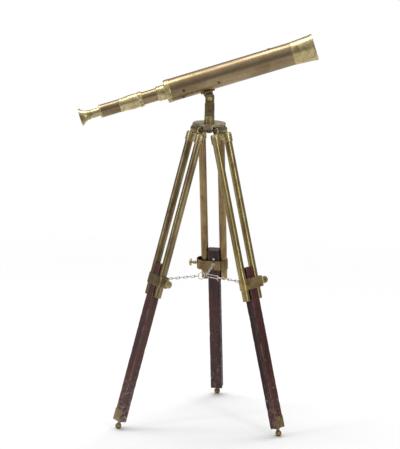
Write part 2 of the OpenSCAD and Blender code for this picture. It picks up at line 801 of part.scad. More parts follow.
// The turned ball foot on its peg, worn flat where it meets the floor
module ball_foot(n) {
    color(bright_brass) difference() {
        on_leg(n) translate([0, 0, -wood_end()]) {
            translate([0, 0, -1.6]) cylinder(r = 4.4, h = 1.6);
            translate([0, 0, -foot_neck]) cylinder(r = 2.7, h = foot_neck);
            translate([0, 0, -touch]) cylinder(r = peg_r, h = peg_in + touch);
            translate([0, 0, -foot_neck]) sphere(d = foot_d);
        }
        translate([-floor_half, -floor_half, -floor_deep])
            cube([2 * floor_half, 2 * floor_half, floor_deep]);
    }
}

// Spreader chain, measured outwards from the post's axis at the height of the leg's chain eye
wire_r = wire_d / 2;
link_play = 0.05;
link_half = (link_pitch + wire_d + 2 * link_play) / 2;
link_w = wire_d + 0.25;
eye_reach = hinge_r + link_eye_x * cos(spread) - eye_z * sin(spread);
eye_height = hinge_z + link_eye_x * sin(spread) + eye_z * cos(spread);
ring_at = 9;
ring_mean = ring_d / 2 - wire_r;
hook_start = 1.5;
hook_end = 27;
hook_w = 2.2;
rear_tip = 4.2;
shackle_w = eye_plate_t / 2 + gap + wire_r;
shackle_min = 7;
shackle_r = wire_r - 0.1;
function link_count(inner, even) =
    let (room = (eye_reach - shackle_min - inner - 2 * link_half) / link_pitch + 1)
    even ? 2 * floor(room / 2) : 2 * floor((room - 1) / 2) + 1;

// A long link in the x-y plane: two straight wires and two half rings
module long_link(half_len, half_w) {
    for (side = [-1, 1]) {
        translate([-(half_len - half_w), side * half_w, 0]) rotate([0, 90, 0])
            cylinder(r = wire_r, h = 2 * (half_len - half_w), $fn = 24);
        rotate([0, 0, side > 0 ? 0 : 180]) translate([half_len - half_w, 0, 0]) rotate([0, 0, -90])
            rotate_extrude(angle = 180) translate([half_w, 0]) circle(r = wire_r, $fn = 24);
    }
}

// The links from the shackle on the eye inwards to a place at the given distance from the axis
module strand(inner, even) {
    count = link_count(inner, even);
    start = inner + (count - 1) * link_pitch + 2 * link_half;
    shackle = start - wire_d - link_play;
    for (i = [0 : count - 1]) translate([start - link_half - i * link_pitch, 0, 0])
        rotate([i % 2 == 0 ? 90 : 0, 0, 0]) long_link(link_half, link_w);
    translate([eye_reach, 0, 0]) rotate([90, 0, 0])
        cylinder(r = wire_r, h = 2 * (shackle_w + wire_r), center = true, $fn = 24);
    for (side = [-1, 1]) translate([shackle + shackle_w, side * shackle_w, 0])
        rotate([0, 90, 0]) cylinder(r = shackle_r, h = eye_reach - shackle - shackle_w, $fn = 24);
    translate([shackle + shackle_w, 0, 0]) rotate([0, 0, 90])
        rotate_extrude(angle = 180) translate([shackle_w, 0]) circle(r = shackle_r, $fn = 24);
}

module on_chain(n) {
    on_axis() rotate([0, 0, leg_turns[n]]) translate([0, 0, eye_height]) children();
}

module rear_chain() {
    color(steel) on_chain(0) strand(rear_tip, false);
}

// The left chain carries the gathering ring
module left_chain() {
    color(steel) on_chain(1) {
        strand(ring_at + ring_mean - wire_d - link_play, true);
        translate([ring_at, 0, 0]) rotate([90, 0, 0])
            rotate_extrude() translate([ring_mean, 0]) circle(r = wire_r, $fn = 24);
    }
}

// The right chain ends in the long hook, with its bent tail
module right_chain() {
    color(steel) on_chain(2) {
        strand(hook_end - wire_d - link_play, true);
        translate([(hook_start + hook_end) / 2, 0, 0]) rotate([90, 0, 0])
            long_link((hook_end - hook_start) / 2, hook_w);
        translate([hook_end - hook_w - 1, 0, -hook_w]) rotate([0, 150, 0])
            cylinder(r = wire_r, h = 5, $fn = 24);
    }
}

tripod_head();
post_collar();
hinge_screws();
hinge_nuts();
post();
post_washer();
post_nut();
tilt_screw();
tilt_nut();
barrel_tube();
mount_lug();
dew_cap();
objective_crown();
objective_flint();
objective_ring();
glare_stops();
barrel_end_ring();
draw_guide();
barrel_screws();
draw_tube();
inner_guide_ring();
erector_lens();
coupling_bead();
draw_coupling();
eye_tube();
eye_tube_lip();
eyepiece_tube();
eyecup();
field_lens();
eye_lens();
leg_sockets(0);  // rear_sockets
leg_tubes(0);  // rear_tubes
leg_clamp(0);  // rear_clamp
leg_chain_eye(0);  // rear_chain_eye
leg_thumbscrew(0);  // rear_thumbscrew
wood_leg(0);  // rear_wood_leg
shoe_plate(0);  // rear_shoe_plate
stop_screw(0);  // rear_stop_screw
ball_foot(0);  // rear_foot
rear_chain();
leg_sockets(1);  // left_sockets
leg_tubes(1);  // left_tubes
leg_clamp(1);  // left_clamp
leg_chain_eye(1);  // left_chain_eye
leg_thumbscrew(1);  // left_thumbscrew
wood_leg(1);  // left_wood_leg
shoe_plate(1);  // left_shoe_plate
stop_screw(1);  // left_stop_screw
ball_foot(1);  // left_foot
left_chain();
leg_sockets(2);  // right_sockets
leg_tubes(2);  // right_tubes
leg_clamp(2);  // right_clamp
leg_chain_eye(2);  // right_chain_eye
leg_thumbscrew(2);  // right_thumbscrew
wood_leg(2);  // right_wood_leg
shoe_plate(2);  // right_shoe_plate
stop_screw(2);  // right_stop_screw
ball_foot(2);  // right_foot
right_chain();
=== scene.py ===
import json
import math

import bpy
from mathutils import Matrix, Vector, noise


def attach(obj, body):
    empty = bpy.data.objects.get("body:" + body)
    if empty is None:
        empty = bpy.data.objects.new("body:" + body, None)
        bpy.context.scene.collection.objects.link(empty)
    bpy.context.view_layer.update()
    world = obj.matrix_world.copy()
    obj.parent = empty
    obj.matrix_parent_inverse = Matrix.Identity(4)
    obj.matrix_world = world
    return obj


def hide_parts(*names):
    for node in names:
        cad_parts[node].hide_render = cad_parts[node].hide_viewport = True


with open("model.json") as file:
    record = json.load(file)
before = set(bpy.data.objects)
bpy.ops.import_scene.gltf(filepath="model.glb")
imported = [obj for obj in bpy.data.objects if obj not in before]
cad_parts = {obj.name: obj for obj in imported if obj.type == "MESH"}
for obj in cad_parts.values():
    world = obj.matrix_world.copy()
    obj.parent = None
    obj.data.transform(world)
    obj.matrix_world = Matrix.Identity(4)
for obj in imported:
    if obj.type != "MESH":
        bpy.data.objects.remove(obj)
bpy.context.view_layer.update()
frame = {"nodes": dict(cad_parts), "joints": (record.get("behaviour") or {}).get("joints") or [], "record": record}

# Sizes, in millimetres, as the solids have them
MM = 0.001
BARREL_R, WALL = 19.2, 1.2
BARREL_RISE, RISE, PIVOT_RISE = 31.4, 18.1, 41.5
EYE_END, SEAM, MOUTH = -58.0, 153.5, 192.5
RING_W, RING_OVER = 9.0, 0.4
GUIDE_END, BEAD_END, COUPLING_FRONT, HOLDER_FRONT = -82.0, -107.0, -115.0, -147.0
HOLDER_END, LIP_END, CUP_NECK, CUP_END = -179.0, -182.5, -200.5, -216.5
DRAW_R, HOLDER_R, EYEPIECE_R = 10.75, 11.0, 7.25
COUPLING_R, CUP_R = 12.4, 14.5
LENS_R = 16.7
SPREAD, HINGE_R = 15.6, 23.0
LEGS = {"rear": 81.5, "left": 208.5, "right": 321.5}
PAIR_HALF, TUBE_R = 16.0, 6.35
TUBE_END = 289.0
WOOD_END, WOOD_LEN, WOOD_DEPTH, WOOD_W = 507.5, 274.0, 15.0, 20.4

joints = {j["name"]: j for j in frame["joints"]}
pivot = Vector(joints["tilt"]["pos_m"])
hinge_z = joints["rear_fold"]["pos_m"][2]


def turn(axis, degrees):
    return Matrix.Rotation(math.radians(degrees), 4, axis)


# Matrices from a local frame in millimetres to the world in metres
SCALE = Matrix.Scale(MM, 4)
SCOPE = (
    Matrix.Translation(pivot) @ turn("Y", -RISE) @ SCALE
    @ Matrix.Translation((0, 0, BARREL_RISE)) @ turn("Y", 90)
)
LEG = {
    name: Matrix.Translation((pivot.x, pivot.y, hinge_z)) @ turn("Z", az) @ SCALE
    @ Matrix.Translation((HINGE_R, 0, 0)) @ turn("Y", -SPREAD)
    for name, az in LEGS.items()
}


# Sockets of a colour mix node that take its two colours
MIX_A, MIX_B = 6, 7
# Depths of bumps, in metres: fine pits, waves in drawn brass, the wood's grain, and its scores and scuffs
FINE_DEPTH, WAVE_DEPTH, GRAIN_DEPTH, SCORE_DEPTH = 0.0002, 0.0006, 0.0003, 0.0004


# Node helpers for the materials
class Nodes:
    def __init__(self, name):
        self.mat = bpy.data.materials.new(name)
        self.mat.use_nodes = True
        self.tree = self.mat.node_tree
        self.tree.nodes.clear()
        self.out = self.tree.nodes.new("ShaderNodeOutputMaterial")
        self.shader = self.tree.nodes.new("ShaderNodeBsdfPrincipled")
        self.link(self.shader.outputs[0], self.out.inputs[0])

    def new(self, kind, **values):
        node = self.tree.nodes.new(kind)
        for key, value in values.items():
            setattr(node, key, value)
        return node

    def link(self, a, b):
        self.tree.links.new(a, b)

    def put(self, socket, value):
        if hasattr(value, "links"):
            self.link(value, socket)
        else:
            socket.default_value = value

    def paint(self, **values):
        """Sets sockets of the shader; a name's underscores stand for its spaces."""
        for key, value in values.items():
            self.put(self.shader.inputs[key.replace("_", " ")], value)

    def coords(self, scale=(1, 1, 1), turned=(0, 0, 0)):
        coord = self.new("ShaderNodeTexCoord")
        first = self.new("ShaderNodeMapping")
        first.inputs["Rotation"].default_value = [math.radians(a) for a in turned]
        self.link(coord.outputs["Object"], first.inputs[0])
        second = self.new("ShaderNodeMapping")
        second.inputs["Scale"].default_value = scale
        self.link(first.outputs[0], second.inputs[0])
        return second.outputs[0]

    def split(self, at):
        node = self.new("ShaderNodeSeparateXYZ")
        self.link(at, node.inputs[0])
        return node.outputs

    def spread(self, value, start, end, to=(0.0, 1.0)):
        """The value carried from the span start to end onto another span, and held beyond its ends."""
        node = self.new("ShaderNodeMapRange")
        for key, number in zip(("From Min", "From Max", "To Min", "To Max"), (start, end, *to)):
            node.inputs[key].default_value = number
        self.link(value, node.inputs["Value"])
        return node.outputs[0]

    def noise(self, at, scale, detail=4.0, rough=0.55, warp=0.0):
        node = self.new("ShaderNodeTexNoise")
        self.link(at, node.inputs["Vector"])
        node.inputs["Scale"].default_value = scale
        node.inputs["Detail"].default_value = detail
        node.inputs["Roughness"].default_value = rough
        node.inputs["Distortion"].default_value = warp
        return node.outputs[0]

    def ramp(self, value, stops):
        node = self.new("ShaderNodeValToRGB")
        self.link(value, node.inputs[0])
        while len(node.color_ramp.elements) < len(stops):
            node.color_ramp.elements.new(0.5)
        for element, (place, colour) in zip(node.color_ramp.elements, stops):
            element.position = place
            element.color = (*colour, 1) if isinstance(colour, tuple) else (colour, colour, colour, 1)
        return node.outputs[0]

    def mix(self, a, b, amount, mode="MIX"):
        node = self.new("ShaderNodeMix", data_type="RGBA", blend_type=mode)
        self.put(node.inputs[0], amount)
        for socket, value in ((MIX_A, a), (MIX_B, b)):
            self.put(node.inputs[socket], (*value, 1) if isinstance(value, tuple) else value)
        return node.outputs[2]

    def math(self, kind, a, b=0.0, c=None, clamp=False):
        node = self.new("ShaderNodeMath", operation=kind, use_clamp=clamp)
        for socket, value in zip(node.inputs, (a, b) if c is None else (a, b, c)):
            self.put(socket, value)
        return node.outputs[0]

    def times(self, a, b):
        return self.math("MULTIPLY", a, b)

    def bump(self, height, strength, distance=FINE_DEPTH, after=None):
        node = self.new("ShaderNodeBump")
        node.inputs["Strength"].default_value = strength
        node.inputs["Distance"].default_value = distance
        self.link(height, node.inputs["Height"])
        if after is not None:
            self.link(after, node.inputs["Normal"])
        return node.outputs[0]


SCOPE_TURN = (0, RISE, 0)
# Noise scales of brass: clouds of tarnish, brown patches, specks, scratches, waves, and blotches of the painted
# top highlight
CLOUDS, PATCHES, SPECKS, SCRATCHES, WAVES, BLOTCHES = 26, 60, 420, 1500, 34, 130
# Half the width of the tarnish's border, and how much the patches change the roughness
BORDER, PATCH_ROUGH = 0.16, 0.16
# Painted highlight: a level top face painted pale where the light from above falls, and the height over which that
# fades, in metres
TOP_HIGHLIGHT, TOP_HIGHLIGHT_FADE = (0.86, 0.77, 0.58), 0.0005
SPECK_DARK, SPECK_PALE, SPECK_LIFT = 0.22, 1.5, 0.05


def brass(name, clean, tarnish, brown, turned=(0, 0, 0), along=(1, 1, 1), *,
          cover, rough, spots, pits, waves=0.12, fading=None, highlight_above=None):
    """Old brass: cloudy tarnish, brown patches, dark specks and fine scratches.

    A higher cover leaves more clean metal, and rough is the roughness of clean and of tarnished metal.
    fading is the span of the turned x axis on which the patches thin out, in metres, and the last argument
    the height of a level face that gets a painted highlight, painted pale as if lit from above.
    """
    n = Nodes(name)
    at = n.coords(turned=turned)
    long = n.coords(along, turned)
    clouds = n.noise(long, CLOUDS, 5, 0.6, 0.4)
    patches = n.noise(long, PATCHES, 6, 0.65, 0.8)
    specks = n.noise(at, SPECKS, 3, 0.6)
    fine = n.noise(at, SCRATCHES, 2, 0.5)
    tarnished = n.ramp(clouds, [(cover - BORDER, 0.0), (cover + BORDER, 1.0)])
    colour = n.mix(clean, tarnish, tarnished)
    browned = n.ramp(patches, [(0.46, 0.0), (0.66, 0.85)])
    if fading:
        browned = n.times(browned, n.spread(n.split(at)[0], *fading, to=(1.0, 0.3)))
    colour = n.mix(colour, brown, browned)
    dark = n.ramp(specks, [(0.60, 0.0), (0.70, spots)])
    colour = n.mix(colour, tuple(c * SPECK_DARK for c in brown), dark)
    pale = n.ramp(specks, [(0.30, spots * 0.5), (0.37, 0.0)])
    colour = n.mix(colour, tuple(min(1, c * SPECK_PALE + SPECK_LIFT) for c in clean), pale)
    # Painted highlight: the level top face is painted pale in blotches, standing in for the light from above
    if highlight_above:
        top_highlit = n.spread(n.split(at)[2], highlight_above - TOP_HIGHLIGHT_FADE, highlight_above)
        blotches = n.ramp(n.noise(at, BLOTCHES, 5, 0.65, 0.5), [(0.40, 1.0), (0.60, 0.15)])
        colour = n.mix(colour, TOP_HIGHLIGHT, n.times(top_highlit, blotches))
    colour = n.mix(colour, n.ramp(fine, [(0.3, 0.88), (0.7, 1.0)]), 1.0, "MULTIPLY")
    roughness = n.math("MULTIPLY_ADD", tarnished, rough[1] - rough[0], rough[0])
    wear = n.math("MULTIPLY_ADD", patches, PATCH_ROUGH, -PATCH_ROUGH / 2)
    wavy = n.bump(n.noise(long, WAVES, 1, 0.4), waves, WAVE_DEPTH)
    n.paint(Base_Color=colour, Roughness=n.math("ADD", roughness, wear, clamp=True), Metallic=1.0,
            Normal=n.bump(n.math("ADD", specks, fine), pits, after=wavy))
    return n.mat


# The stains of steel, as a share of its colour, and their noise scale and that of its scratches
STAIN, STEEL_CLOUDS, STEEL_SCRATCHES = 0.45, 140, 1800


def steel(name, colour, rough):
    """Steel with dark cloudy stains, rougher where it is stained."""
    n = Nodes(name)
    at = n.coords()
    clouds = n.noise(at, STEEL_CLOUDS)
    stained = tuple(c * STAIN for c in colour)
    n.paint(Base_Color=n.mix(colour, stained, n.ramp(clouds, [(0.42, 0.0), (0.68, 0.9)])),
            Roughness=n.ramp(clouds, [(0.3, rough - 0.1), (0.7, rough + 0.2)]), Metallic=1.0,
            Normal=n.bump(n.noise(at, STEEL_SCRATCHES, 2), 0.2))
    return n.mat


GLASS_CLOUDS, GLASS_IOR, BLACK_CLOUDS = 90, 1.52, 300


def glass(name):
    n = Nodes(name)
    clouds = n.noise(n.coords(), GLASS_CLOUDS, 3)
    n.paint(Base_Color=n.ramp(clouds, [(0.3, (0.90, 0.96, 0.95)), (0.7, (0.97, 0.99, 0.99))]),
            Roughness=n.ramp(clouds, [(0.3, 0.02), (0.7, 0.07)]), Transmission_Weight=1.0, IOR=GLASS_IOR)
    return n.mat


def blacking(name):
    n = Nodes(name)
    clouds = n.noise(n.coords(), BLACK_CLOUDS)
    n.paint(Base_Color=n.ramp(clouds, [(0.3, 0.012), (0.7, 0.035)]),
            Roughness=n.ramp(clouds, [(0.3, 0.7), (0.7, 0.9)]))
    return n.mat


# The wood's colours: two tones, pores, redder clouds and the scored line's painted shade, then edges painted pale
# as wear and painted highlight, scuffs and scrapes
WOOD_TONES = (0.022, 0.0058, 0.0055), (0.088, 0.0150, 0.0105)
PORES, RED_CLOUDS, SCORE_SHADE = (0.008, 0.004, 0.005), (0.130, 0.030, 0.019), (0.004, 0.002, 0.002)
PALE_EDGES_WEAR_AND_HIGHLIGHT, SCUFFED, BARED = (0.26, 0.155, 0.125), (0.42, 0.35, 0.32), (0.36, 0.27, 0.24)
# Their noise scales, and how much longer the grain is than it is wide
GRAIN, BANDS, STAINS, SCUFFS, EDGE_WEAR_AND_HIGHLIGHT, SCRAPES = 700, 150, 30, 210, 75, 120
GRAIN_STRETCH = 0.06
# Places across the leg are read in centimetres, and heights above the floor in quarters of a metre
CM_PER_M, QUARTERS_PER_M = 100, 4.0


def wood(name, leg, side_shade, light_cast, scraped):
    """Dark mahogany with its grain along the leg, a scored line painted dark as shade, edges painted pale as wear
    and as a painted highlight, painted light and shade on the narrow sides, a painted light cast, and pale scuffs
    at the foot.
    """
    n = Nodes(name)
    world_at = n.new("ShaderNodeTexCoord").outputs["Object"]
    local = n.new("ShaderNodeMapping", vector_type="TEXTURE")
    local.inputs["Location"].default_value = LEG[leg].to_translation()
    local.inputs["Rotation"].default_value = (0, math.radians(-SPREAD), math.radians(LEGS[leg]))
    n.link(world_at, local.inputs[0])
    at = local.outputs[0]
    stretch = n.new("ShaderNodeMapping")
    stretch.inputs["Scale"].default_value = (1, 1, GRAIN_STRETCH)
    n.link(at, stretch.inputs[0])
    grain = n.noise(stretch.outputs[0], GRAIN, 6, 0.6, 0.3)
    bands = n.noise(stretch.outputs[0], BANDS, 4, 0.5, 1.2)
    clouds = n.noise(at, STAINS)
    scuffs = n.noise(at, SCUFFS, 5, 0.7, 0.6)
    colour = n.mix(*WOOD_TONES, n.ramp(bands, [(0.38, 0.0), (0.64, 1.0)]))
    colour = n.mix(colour, PORES, n.ramp(grain, [(0.50, 0.0), (0.72, 0.85)]))
    colour = n.mix(colour, RED_CLOUDS, n.times(n.ramp(clouds, [(0.45, 0.0), (0.7, 0.7)]), 0.6))
    x, y = n.split(at)[:2]
    deep = n.times(n.math("ABSOLUTE", x), CM_PER_M)
    wide = n.times(n.math("ABSOLUTE", y), CM_PER_M)
    # The line scored down the middle of the outer face, painted dark as painted shade in the groove
    outer = n.ramp(n.times(x, CM_PER_M), [(0.60, 0.0), (0.68, 1.0)])
    scored = n.times(n.ramp(wide, [(0.05, 1.0), (0.10, 0.0)]), outer)
    colour = n.mix(colour, SCORE_SHADE, n.times(scored, 0.85))
    # Painted light and shade: the narrow sides take each leg's own side shade, for how the light falls on them
    colour = n.mix(colour, side_shade, n.ramp(wide, [(0.90, 0.0), (0.96, 0.72)]))
    # Edges painted pale: worn by handling, and a painted highlight where the rounded edges catch the light
    edge = n.times(n.ramp(deep, [(0.58, 0.0), (0.68, 1.0)]), n.ramp(wide, [(0.86, 0.0), (0.95, 1.0)]))
    edge = n.times(edge, n.ramp(n.noise(at, EDGE_WEAR_AND_HIGHLIGHT, 5, 0.7), [(0.42, 0.0), (0.60, 1.0)]))
    colour = n.mix(colour, PALE_EDGES_WEAR_AND_HIGHLIGHT, n.times(edge, 0.7))
    height = n.times(n.split(world_at)[2], QUARTERS_PER_M)
    low = n.ramp(height, [(0.10, 1.0), (0.45, 0.35), (0.85, 0.10)])
    worn = n.times(n.ramp(scuffs, [(0.58, 0.0), (0.66, 1.0)]), low)
    colour = n.mix(colour, SCUFFED, n.times(worn, 0.8))
    # Finish scraped away above the shoe
    scrapes = n.ramp(n.noise(at, SCRAPES, 6, 0.75, 1.2), [(0.48, 0.0), (0.60, 1.0)])
    near_shoe = n.ramp(height, [(0.12, 1.0), (0.36, 0.0)])
    colour = n.mix(colour, BARED, n.times(n.times(scrapes, near_shoe), scraped))
    grooves = n.bump(n.math("ADD", worn, scored), 0.4, SCORE_DEPTH)
    # Painted light: each leg's wood is multiplied by a colour cast for how it is lit
    n.paint(Base_Color=n.mix(colour, light_cast, 1.0, "MULTIPLY"),
            Roughness=n.ramp(clouds, [(0.3, 0.36), (0.7, 0.55)]), Specular_IOR_Level=0.36,
            Normal=n.bump(grain, 0.35, GRAIN_DEPTH, grooves))
    return n.mat


# Finishes by material slot; the three colours of a brass are its clean metal, tarnish and brown patches
SKIN = {
    "aged_brass": brass("aged_brass", (0.30, 0.235, 0.125), (0.14, 0.100, 0.050), (0.060, 0.040, 0.024),
                        cover=0.45, rough=(0.3, 0.5), spots=0.8, pits=0.5),
    "bright_brass": brass("bright_brass", (0.66, 0.55, 0.30), (0.44, 0.355, 0.17), (0.19, 0.155, 0.065),
                          SCOPE_TURN, cover=0.52, rough=(0.26, 0.40), spots=0.25, pits=0.01, waves=0.02),
    "dark_brass": brass("dark_brass", (0.36, 0.27, 0.16), (0.215, 0.155, 0.082), (0.10, 0.058, 0.048),
                        SCOPE_TURN, (0.45, 1, 1), cover=0.49, rough=(0.25, 0.40), spots=0.3, pits=0.01,
                        waves=0.02, fading=(-0.06, 0.07)),
    "steel": steel("steel", (0.72, 0.71, 0.68), 0.3),
    "lens_glass": glass("lens_glass"),
    "blackened": blacking("blackened"),
}
# Each leg's tubes, straps and wood have aged differently, and each leg's wood also has its own painted light and
# shade
LEG_TONES = {
    "rear": ((0.38, 0.27, 0.13), (0.22, 0.15, 0.070), (0.15, 0.082, 0.040)),
    "left": ((0.37, 0.29, 0.15), (0.22, 0.165, 0.082), (0.13, 0.083, 0.048)),
    "right": ((0.47, 0.385, 0.17), (0.29, 0.225, 0.090), (0.16, 0.100, 0.045)),
}
LEG_SKIN = {
    leg: brass("leg_brass_" + leg, *tones, along=(1, 1, 0.25),
               cover=0.49, rough=(0.25, 0.4), spots=0.3, pits=0.03, waves=0.06)
    for leg, tones in LEG_TONES.items()
}
WORN = brass("worn_brass", (0.46, 0.36, 0.17), (0.28, 0.20, 0.085), (0.13, 0.085, 0.042),
             cover=0.45, rough=(0.3, 0.5), spots=0.6, pits=0.3)
COLLAR = brass("collar_brass", (0.50, 0.41, 0.22), (0.22, 0.165, 0.08), (0.085, 0.058, 0.032),
               cover=0.44, rough=(0.28, 0.45), spots=0.5, pits=0.2)
# The head's level top carries a painted highlight
HEAD = brass("head_brass", (0.46, 0.39, 0.25), (0.22, 0.165, 0.088), (0.065, 0.043, 0.026),
             cover=0.47, rough=(0.26, 0.46), spots=0.9, pits=0.6, highlight_above=pivot.z - PIVOT_RISE * MM)
OWN_SKIN = {"post_collar": COLLAR, "tripod_head": HEAD, "eyepiece_tube": SKIN["bright_brass"]}
OLD_SCREW = steel("old_screw", (0.13, 0.11, 0.09), 0.45)
# Painted light and shade for each leg's narrow sides
SIDE_SHADES = {"rear": (0.012, 0.005, 0.005), "left": (0.085, 0.042, 0.036), "right": (0.010, 0.004, 0.004)}
# Painted light: a colour cast over each leg's wood, the rear darker and bluer, the right redder
LIGHT_CASTS = {"rear": (0.68, 0.80, 0.95), "left": (1.0, 1.0, 1.0), "right": (1.0, 0.85, 0.80)}
SCRAPED = {"rear": 0.2, "left": 0.8, "right": 0.3}
WOODS = {
    leg: wood("dark_wood_" + leg, leg, tone, LIGHT_CASTS[leg], SCRAPED[leg]) for leg, tone in SIDE_SHADES.items()
}
STRAP_TONES = {
    "rear": ((0.30, 0.22, 0.11), (0.17, 0.115, 0.055), (0.11, 0.062, 0.030)),
    "left": ((0.36, 0.28, 0.14), (0.20, 0.15, 0.074), (0.12, 0.076, 0.043)),
    "right": ((0.60, 0.47, 0.22), (0.38, 0.28, 0.12), (0.21, 0.130, 0.058)),
}
STRAPS = {
    leg: brass("strap_brass_" + leg, *tones,
               cover=0.49, rough=(0.27, 0.42), spots=0.35, pits=0.05, waves=0.08)
    for leg, tones in STRAP_TONES.items()
}
SLOTS = {part["node"]: part["material_slot"] for part in frame["record"]["subparts"]}


def skin_of(node):
    slot, leg = SLOTS[node], node.split("_")[0]
    if node in OWN_SKIN:
        return OWN_SKIN[node]
    if slot == "dark_wood":
        return WOODS[leg]
    return LEG_SKIN[leg] if slot == "leg_brass" else SKIN[slot]


for node, thing in frame["nodes"].items():
    thing.data.materials.clear()
    thing.data.materials.append(skin_of(node))


# Mesh helpers
def stand_for(piece, node, body):
    """Makes a piece ride on a body in the place of a node, which it hides."""
    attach(piece, body)
    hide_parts(node)


def new_piece(name, verts, faces, body, material, node, sharp=32):
    mesh = bpy.data.meshes.new(name)
    mesh.from_pydata(verts, [], faces)
    mesh.validate()
    mesh.polygons.foreach_set("use_smooth", [True] * len(mesh.polygons))
    mesh.set_sharp_from_angle(angle=math.radians(sharp))
    piece = bpy.data.objects.new(name, mesh)
    bpy.context.collection.objects.link(piece)
    mesh.materials.append(material)
    stand_for(piece, node, body)


# The share of its shorter side that a corner's arc may take, and what counts as a straight run
CORNER_SHARE, SHORTEST_RUN, STRAIGHT = 0.45, 1e-6, math.radians(86)
ARC_STEPS = 4


def arc_corner(before, at, after, radius):
    """The corner at a point, rounded with an arc of at most the given radius."""
    a, p, b = Vector(before), Vector(at), Vector(after)
    u, v = (a - p), (b - p)
    room = CORNER_SHARE * min(u.length, v.length)
    if room < SHORTEST_RUN:
        return [tuple(p)]
    u.normalize()
    v.normalize()
    half = math.acos(max(-1, min(1, u.dot(v)))) / 2
    if half > STRAIGHT:
        return [tuple(p)]
    reach = min(radius / math.tan(half), room)
    start, end = p + u * reach, p + v * reach
    out = []
    for k in range(ARC_STEPS + 1):
        t = k / ARC_STEPS
        out.append(tuple((1 - t) ** 2 * start + 2 * t * (1 - t) * p + t ** 2 * end))
    return out


def rounded(outline, radius):
    """A closed outline whose corners are rounded; a point may carry its own radius as a third number."""
    out = []
    for k, point in enumerate(outline):
        before, after = outline[k - 1], outline[(k + 1) % len(outline)]
        out += arc_corner(before[:2], point[:2], after[:2], point[2] if len(point) > 2 else radius)
    return out


def long_steps(outline, step):
    """The same outline with its long runs cut up, so that the surface can be shaded evenly."""
    out = []
    for k, (r, z) in enumerate(outline):
        nr, nz = outline[(k + 1) % len(outline)]
        cuts = max(1, int(math.hypot(nr - r, nz - z) / step))
        out += [(r + (nr - r) * c / cuts, z + (nz - z) * c / cuts) for c in range(cuts)]
    return out


def turned_mesh(outline, place, radius=0.25, around=96, step=6.0):
    """A closed outline of (radius, height) carried round the z axis of a place."""
    ring = long_steps(rounded(outline, radius), step)
    if sum(ring[i - 1][0] * p[1] - p[0] * ring[i - 1][1] for i, p in enumerate(ring)) < 0:
        ring.reverse()
    verts, faces, count = [], [], len(ring)
    for k in range(around):
        a = 2 * math.pi * k / around
        verts += [place @ Vector((r * math.cos(a), r * math.sin(a), z)) for r, z in ring]
    for k in range(around):
        m = (k + 1) % around
        for i in range(count):
            j = (i + 1) % count
            faces.append((k * count + i, m * count + i, m * count + j, k * count + j))
    return verts, faces


def joined(parts):
    verts, faces = [], []
    for part_verts, part_faces in parts:
        faces += [tuple(i + len(verts) for i in face) for face in part_faces]
        verts += part_verts
    return verts, faces


def lathe(name, outline, body, node, **how):
    """A piece turned about the telescope's axis, from points of (radius, place along it) in millimetres."""
    new_piece(name, *turned_mesh(outline, SCOPE, **how), body, skin_of(node), node)


RELAX = 0.5


def softened(name, node, body, voxel, rounds, pit=0.0, material=None, fineness=900.0):
    """A cast or bent piece: the node's shape, remeshed so that its edges come out softly rounded.

    voxel is the remesh's grain and pit the depth of its pitting, both in millimetres.
    """
    source = frame["nodes"][node]
    piece = bpy.data.objects.new(name, source.data.copy())
    bpy.context.collection.objects.link(piece)
    remesh = piece.modifiers.new("remesh", "REMESH")
    remesh.mode = "VOXEL"
    remesh.voxel_size = voxel * MM
    relax = piece.modifiers.new("relax", "SMOOTH")
    relax.iterations = rounds
    relax.factor = RELAX
    graph = bpy.context.evaluated_depsgraph_get()
    mesh = bpy.data.meshes.new_from_object(piece.evaluated_get(graph))
    piece.modifiers.clear()
    piece.data = mesh
    if pit:
        normals = [v.normal.copy() for v in mesh.vertices]
        for vertex, normal in zip(mesh.vertices, normals):
            vertex.co -= normal * (pit * MM * max(0.0, noise.noise(vertex.co * fineness)))
    mesh.polygons.foreach_set("use_smooth", [True] * len(mesh.polygons))
    mesh.materials.clear()
    mesh.materials.append(material or skin_of(node))
    stand_for(piece, node, body)


# The telescope's turned pieces
BORE_R = BARREL_R - WALL
lathe("barrel_shell", [
    (BORE_R, EYE_END), (BARREL_R, EYE_END), (BARREL_R, SEAM), (BORE_R, SEAM),
], "barrel", "barrel_tube", radius=0.1, around=128, step=5)

CAP_R, MOUTH_R, RIM_R = BARREL_R + RING_OVER, 21.7, 22.3
RIM_BACK, GROOVE_BACK, GROOVE_R = MOUTH - 4.7, MOUTH - 5.5, MOUTH_R - 0.5
CELL_BACK, CELL_SEAT, CELL_FRONT, CELL_R = SEAM - 10, SEAM - 7.5, 156.6, LENS_R - 1.6
lathe("dew_cap_shell", [
    (CELL_R, CELL_BACK), (BORE_R, CELL_BACK), (BORE_R, SEAM), (CAP_R, SEAM, 0.5), (CAP_R, SEAM + 2, 1),
    (MOUTH_R, GROOVE_BACK, 0.15), (GROOVE_R, GROOVE_BACK, 0.1), (GROOVE_R, RIM_BACK, 0.1),
    (RIM_R, RIM_BACK, 0.5), (RIM_R, MOUTH - 0.5, 0.4), (RIM_R - 0.5, MOUTH, 0.3), (MOUTH_R - 1.4, MOUTH, 0.5),
    (LENS_R + 1.2, CELL_FRONT, 0.3), (LENS_R, CELL_FRONT), (LENS_R, CELL_SEAT), (CELL_R, CELL_SEAT),
], "barrel", "dew_cap", around=128, step=4)

